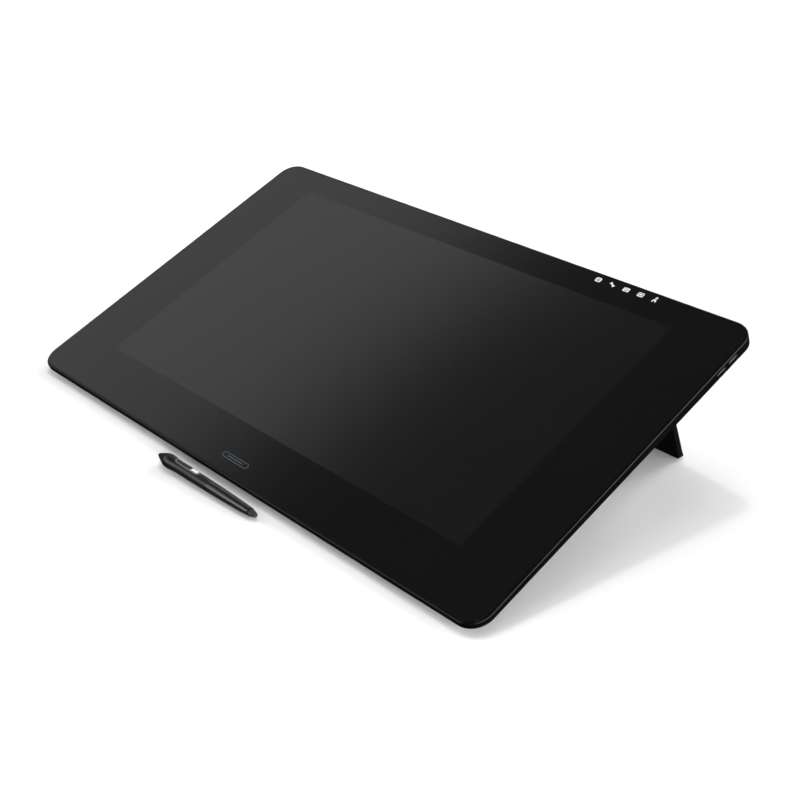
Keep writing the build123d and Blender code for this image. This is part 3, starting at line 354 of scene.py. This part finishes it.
def cover_glass(materials):
    """Etched cover glass with a ground edge; its display window is a face of its own."""
    mesh = bpy.data.meshes.new("face_glass")
    bm = bmesh.new()
    width, radius = WIDTH - 2 * GLASS_INSET, CORNER_R - GLASS_INSET
    y0, y1 = GLASS_INSET, DEPTH - GLASS_INSET
    steps = 16
    outer = rounded_rectangle(width, y0, y1, radius, steps)
    top = rounded_rectangle(width - 2 * GROUND_EDGE, y0 + GROUND_EDGE, y1 - GROUND_EDGE,
                            radius - GROUND_EDGE, steps)
    window = rounded_rectangle(WINDOW_W, WINDOW_Y - WINDOW_D / 2, WINDOW_Y + WINDOW_D / 2, WINDOW_R, steps)
    bottom = ring_of(bm, outer, -GLASS_T, SLAB)
    side = ring_of(bm, outer, -GROUND_EDGE, SLAB)
    edge = ring_of(bm, top, 0.0, SLAB)
    frame_edge = ring_of(bm, window, 0.0, SLAB)
    bridge(bm, bottom, side)
    bridge(bm, side, edge)
    bridge(bm, edge, frame_edge)
    bm.faces.new(frame_edge).material_index = 1
    bm.faces.new(bottom)
    skins = (materials["glass"], materials["glass_window"])
    glass = finish_mesh("face_glass", mesh, bm, skins, "tablet")
    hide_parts("cover_glass")


PRINT_LIFT, PRINT_T = 0.012, 0.02


def inlay(name, shapes, x, y, material):
    """Thin print lying on the glass: closed outlines in millimetres, holes included."""
    curve = bpy.data.curves.new(name, "CURVE")
    curve.dimensions = "2D"
    curve.fill_mode = "BOTH"
    curve.extrude = PRINT_T / 2 * MM
    for outline in shapes:
        spline = curve.splines.new("POLY")
        spline.points.add(len(outline) - 1)
        for point, (px, py) in zip(spline.points, outline):
            point.co = ((x + px) * MM, (y + py) * MM, 0.0, 1.0)
        spline.use_cyclic_u = True
    holder = bpy.data.objects.new(name + "_outline", curve)
    bpy.context.scene.collection.objects.link(holder)
    evaluated = holder.evaluated_get(bpy.context.evaluated_depsgraph_get())
    mesh = bpy.data.meshes.new_from_object(evaluated)
    bpy.data.objects.remove(holder)
    mesh.transform(SLAB @ Matrix.Translation((0, 0, (PRINT_LIFT + PRINT_T / 2) * MM)))
    bm = bmesh.new()
    bm.from_mesh(mesh)
    mesh.materials.clear()
    return finish_mesh(name, mesh, bm, (material,), "tablet")


def circle(cx, cy, radius, count=24):
    angles = [2 * pi * i / count for i in range(count)]
    return [(cx + radius * cos(angle), cy + radius * sin(angle)) for angle in angles]


def box_outline(cx, cy, width, height, radius=0.5, steps=5):
    points = rounded_rectangle(width, -height / 2, height / 2, radius, steps)
    return [(cx + px, cy + py) for px, py in points]


def turned(points, angle):
    """The points turned about the origin, anticlockwise by an angle in degrees."""
    c, s = cos(radians(angle)), sin(radians(angle))
    return [(px * c - py * s, px * s + py * c) for px, py in points]


ICON_SCALE = 0.93


def key_icons(materials):
    """Plain icons of the five touch keys: settings, tool, keyboard, screen and touch."""
    settings = [box_outline(0, 0, 7.2, 6.4, 1.6), circle(0, 0, 2.0), circle(0, 0, 1.0)]
    wedges = [(-1.9, 3.8), (1.9, 3.8), (0.6, 0.0), (1.9, -3.6), (-1.9, -3.6), (-0.6, 0.0)]
    keyboard = [box_outline(0, 0, 7.8, 5.8, 0.9), box_outline(0, -1.3, 4.4, 0.9, 0.2)]
    keyboard += [box_outline(-2.4 + 1.6 * i, 0.9, 0.8, 1.2, 0.2) for i in range(4)]
    screen = [box_outline(0, 0.2, 7.6, 6.2, 1.2), box_outline(0, 0.5, 5.4, 3.8, 0.4),
              box_outline(0, 0.5, 3.8, 2.2, 0.3)]
    touch = [(-2.6, -3.0), (-1.4, -3.6), (-0.6, -1.2), (0.6, -1.2), (1.6, -3.4),
             (2.8, -2.8), (2.0, 0.2), (0.8, 1.0), (-0.6, 1.0), (-1.8, 0.2)]
    icons = (("key_icon_settings", settings),
             ("key_icon_tool", [turned(wedges, 56)]),
             ("key_icon_keyboard", keyboard),
             ("key_icon_screen", screen),
             ("key_icon_touch", [touch, circle(0.4, 3.0, 1.5), circle(0.4, 3.0, 0.6)]))
    for (name, shapes), x in zip(icons, KEY_XS):
        shapes = [[(px * ICON_SCALE, py * ICON_SCALE) for px, py in outline] for outline in shapes]
        inlay(name, shapes, x, KEY_Y, materials["key_light"])


MARK_W, MARK_H, MARK_LINE, MARK_Y = 39.0, 6.4, 0.8, 19.5


def front_mark(materials):
    """Plain printed mark in the middle of the front bezel: a long thin outline around a bar."""
    inner_w, inner_h = MARK_W - 2 * MARK_LINE, MARK_H - 2 * MARK_LINE
    shapes = [box_outline(0, 0, MARK_W, MARK_H, MARK_H / 2, 8),
              box_outline(0, 0, inner_w, inner_h, inner_h / 2, 8),
              box_outline(0, 0, 24.0, 1.0, 0.5, 6)]
    inlay("front_mark", shapes, 0.0, MARK_Y, materials["mark"])


# ---------------------------------------------------------------- CAD nodes
def dress_nodes(materials):
    """Gives each CAD node the material of its record slot; the pen's tail button is a lighter satin."""
    slots = {part["node"]: part["material_slot"] for part in frame["record"]["subparts"]}
    slots["pen_tail_button"] = "pen_tail"
    for name, node in frame["nodes"].items():
        material = materials[slots[name]]
        for holder in node.material_slots:
            holder.material = material


# ---------------------------------------------------------------- stage, light and camera
FLOOR_RADIUS = 26.0
BACKDROP_RADIUS = 25.0
CAMERA_PLACE = (0.91562, -0.75253, 0.67891)
CAMERA_AZIMUTH, CAMERA_ELEVATION, CAMERA_ROLL = radians(45.74), radians(28.64), radians(-1.12)
CAMERA_LENS = 59.22
CAMERA_SHIFT = (-0.06875, -0.01875)
# Each light's name, azimuth from +X and elevation, spread, all in degrees, and strength.
SUNS = (("left_side", 186.0, 12.0, 22.0, 2.2),
        ("rear_side", 85.0, 24.0, 34.0, 2.5),
        ("front_side", 285.0, 32.0, 40.0, 0.2),
        ("broad_light", 145.0, 64.0, 50.0, 1.2),
        ("key_light", 132.0, 62.0, 5.0, 0.6))


def stage_object(name, bm, material):
    mesh = bpy.data.meshes.new(name)
    bm.to_mesh(mesh)
    bm.free()
    mesh.materials.append(material)
    made = bpy.data.objects.new(name, mesh)
    bpy.context.scene.collection.objects.link(made)
    return made


def make_stage():
    """Plain pale floor that black gloss doesn't mirror, and a white backdrop that only fills the view."""
    bm = bmesh.new()
    bmesh.ops.create_circle(bm, cap_ends=True, segments=96, radius=FLOOR_RADIUS)
    material, tree, shader = start_material("pale_floor", 0.9, specular=0.1)
    source = add(tree, "TexCoord").outputs["Object"]
    colour = blend_colours(tree, noise(tree, source, 3.0), grey(0.83), grey(0.85))
    tree.links.new(colour, shader.inputs["Base Color"])
    floor = stage_object("floor", bm, material)
    floor.visible_glossy = False

    bm = bmesh.new()
    bmesh.ops.create_uvsphere(bm, u_segments=64, v_segments=32, radius=BACKDROP_RADIUS)
    material, tree, shader = start_material("white_backdrop", 1.0, specular=0.0, Emission_Strength=1.0)
    shader.inputs["Base Color"].default_value = grey(0.0)
    shader.inputs["Emission Color"].default_value = grey(1.0)
    backdrop = stage_object("backdrop", bm, material)
    backdrop.visible_diffuse = backdrop.visible_glossy = backdrop.visible_transmission = False
    backdrop.visible_shadow = False


def sun(name, azimuth, elevation, spread_angle, strength):
    """Even soft light from one direction, given from +X; it shows in no reflection."""
    data = bpy.data.lights.new(name, "SUN")
    data.angle = radians(spread_angle)
    data.energy = strength
    light = bpy.data.objects.new(name, data)
    bpy.context.scene.collection.objects.link(light)
    a, e = radians(azimuth), radians(elevation)
    towards = Vector((cos(a) * cos(e), sin(a) * cos(e), sin(e)))
    light.rotation_euler = towards.to_track_quat("Z", "Y").to_euler()
    light.visible_glossy = False


def make_world():
    """Dark studio: a long soft box and a low light on the left, a bright low horizon on the right."""
    world = bpy.data.worlds.new("studio")
    world.use_nodes = True
    tree = world.node_tree
    direction = add(tree, "SeparateXYZ", {"Vector": add(tree, "TexCoord").outputs["Generated"]})
    x, y, z = (direction.outputs[axis] for axis in "XYZ")

    def tilted(factor):
        """Height of a direction above a plane that tilts along Y."""
        return add(tree, "Math", {0: y, 1: -factor, 2: z}, operation="MULTIPLY_ADD").outputs[0]

    def step(value, low, high, rising=True):
        """Smooth step between two values of a coordinate, from 0 to 1 or, falling, from 1 to 0."""
        ends = {"To Min": 0.0, "To Max": 1.0} if rising else {"To Min": 1.0, "To Max": 0.0}
        sockets = {"Value": value, "From Min": low, "From Max": high, **ends}
        return add(tree, "MapRange", sockets, interpolation_type="SMOOTHSTEP").outputs["Result"]

    def product(*values):
        result = values[0]
        for value in values[1:]:
            result = add(tree, "Math", {0: result, 1: value}, operation="MULTIPLY").outputs[0]
        return result

    def total(first, second):
        return add(tree, "Math", {0: first, 1: second}, operation="ADD").outputs[0]

    box = product(step(tilted(0.45), 0.43, 0.49), step(tilted(0.13), 0.643, 0.727, False),
                  step(x, -0.45, -0.2, False), spread(tree, y, 1.6, 0.62, -0.7, 0.0))
    low_side = product(step(z, 0.0, 0.10), step(y, -0.76, -0.64, False),
                       step(x, -0.45, -0.2, False), 1.0)
    corner = product(step(z, 0.33, 0.38), step(z, 0.48, 0.54, False),
                     step(x, -0.5, -0.4, False), step(y, 0.45, 0.55), 1.4)
    horizon = product(step(z, 0.32, 0.46, False), step(z, 0.02, 0.10), step(x, 0.4, 0.7), 8.0)
    level = total(total(total(total(box, low_side), corner), horizon), 0.02)
    tree.links.new(level, tree.nodes["Background"].inputs["Strength"])
    tree.nodes["Background"].inputs["Color"].default_value = grey(1.0)
    bpy.context.scene.world = world


def make_camera():
    data = bpy.data.cameras.new("camera")
    data.sensor_width = 36.0
    data.lens = CAMERA_LENS
    data.shift_x, data.shift_y = CAMERA_SHIFT
    data.clip_start, data.clip_end = 0.05, 60.0
    camera = bpy.data.objects.new("camera", data)
    bpy.context.scene.collection.objects.link(camera)
    a, e = CAMERA_AZIMUTH, CAMERA_ELEVATION
    forward = Vector((-sin(a) * cos(e), cos(a) * cos(e), -sin(e)))
    right = Vector((cos(a), sin(a), 0.0))
    axes = Matrix((right, right.cross(forward), -forward)).transposed().to_4x4()
    camera.matrix_world = Matrix.Translation(CAMERA_PLACE) @ axes @ Matrix.Rotation(CAMERA_ROLL, 4, "Z")
    bpy.context.scene.camera = camera


def main():
    scene = bpy.context.scene
    scene.view_settings.view_transform = "Standard"
    materials = make_materials()
    dress_nodes(materials)
    cover_glass(materials)
    key_icons(materials)
    front_mark(materials)
    make_stage()
    make_world()
    for light in SUNS:
        sun(*light)
    make_camera()


main()
